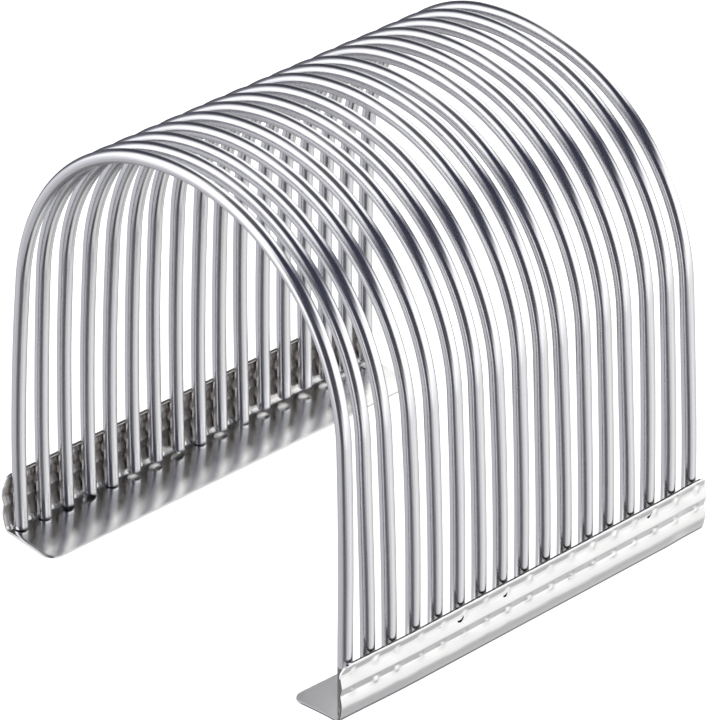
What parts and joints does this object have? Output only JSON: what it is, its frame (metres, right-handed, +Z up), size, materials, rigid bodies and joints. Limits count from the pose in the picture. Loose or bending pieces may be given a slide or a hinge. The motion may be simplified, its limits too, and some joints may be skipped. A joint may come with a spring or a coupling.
{
  "type": "toast rack",
  "caption": "Free-standing rack of round steel wire arches welded side by side into two ribbed L rails, with narrow gaps between.",
  "frame": {"origin": "centre of the rack on the plane it stands on, midway between the rails and midway along them", "axes": "+Z up, +Y along the rails from the first arch to the last, +X across the arches to the right rail"},
  "size_m": [0.1018, 0.1034, 0.1024],
  "materials": {
    "wire": "bright drawn stainless wire, smooth and polished",
    "rail_sheet": "bright cold-rolled stainless sheet, pressed and bent",
    "weld": "resistance weld metal, slightly dull"
  },
  "bodies": {
    "root": {"left_rail": "rail_sheet", "right_rail": "rail_sheet", "arch_01": "wire", "arch_02": "wire", "arch_03": "wire", "arch_04": "wire", "arch_05": "wire", "arch_06": "wire", "arch_07": "wire", "arch_08": "wire", "arch_09": "wire", "arch_10": "wire", "arch_11": "wire", "arch_12": "wire", "arch_13": "wire", "arch_14": "wire", "arch_15": "wire", "arch_16": "wire", "arch_17": "wire", "left_welds": "weld", "right_welds": "weld"}
  },
  "joints": []
}
